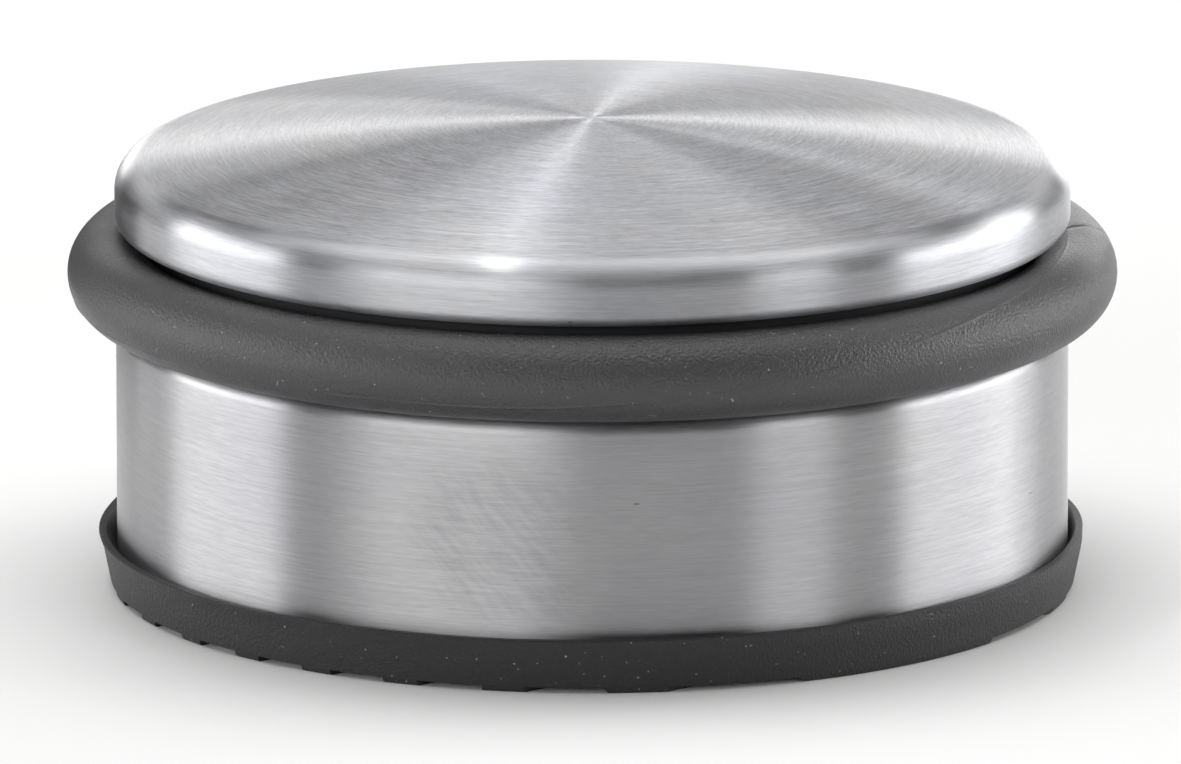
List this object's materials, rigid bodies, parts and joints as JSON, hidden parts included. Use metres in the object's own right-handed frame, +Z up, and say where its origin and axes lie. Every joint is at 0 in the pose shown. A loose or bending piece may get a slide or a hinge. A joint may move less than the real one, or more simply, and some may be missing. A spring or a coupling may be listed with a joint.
{
  "type": "floor door holder",
  "caption": "Low round free-standing door holder: domed brushed steel cap, rubber bumper ring in a groove, steel-clad weight and a ribbed rubber cup underneath.",
  "frame": {"origin": "on the floor, at the centre of the base", "axes": "+Z up along the turning axis of the whole stack; -Y is the side that the stored view looks at"},
  "size_m": [0.1, 0.1, 0.045],
  "materials": {
    "cap_steel": "stainless steel, brushed in circles round the centre",
    "sleeve_steel": "stainless steel, brushed round the cylinder",
    "ring_rubber": "charcoal rubber, satin, finely pebbled, with a mould line",
    "cup_rubber": "black rubber, matt, fine grain",
    "cast_weight_iron": "rough grey cast iron",
    "moulded_nylon": "black moulded nylon",
    "plated_fastener": "zinc-plated steel",
    "adhesive_film": "translucent adhesive film"
  },
  "bodies": {
    "weighted_stack": {"sole_cup": "cup_rubber", "sole_adhesive": "adhesive_film", "body_sleeve": "sleeve_steel", "cast_weight": "cast_weight_iron", "groove_spool": "moulded_nylon", "top_cap": "cap_steel", "cap_insert": "moulded_nylon", "clamp_bolt": "plated_fastener", "spring_washer": "plated_fastener", "plain_washer": "plated_fastener", "captive_nut": "plated_fastener"},
    "bumper": {"bumper_ring": "ring_rubber"}
  },
  "joints": [
    {"name": "bumper_ring_turn", "type": "hinge", "parent": "weighted_stack", "child": "bumper", "pos_m": [0, 0, 0.03025], "axis": [0, 0, 1], "continuous": true}
  ]
}
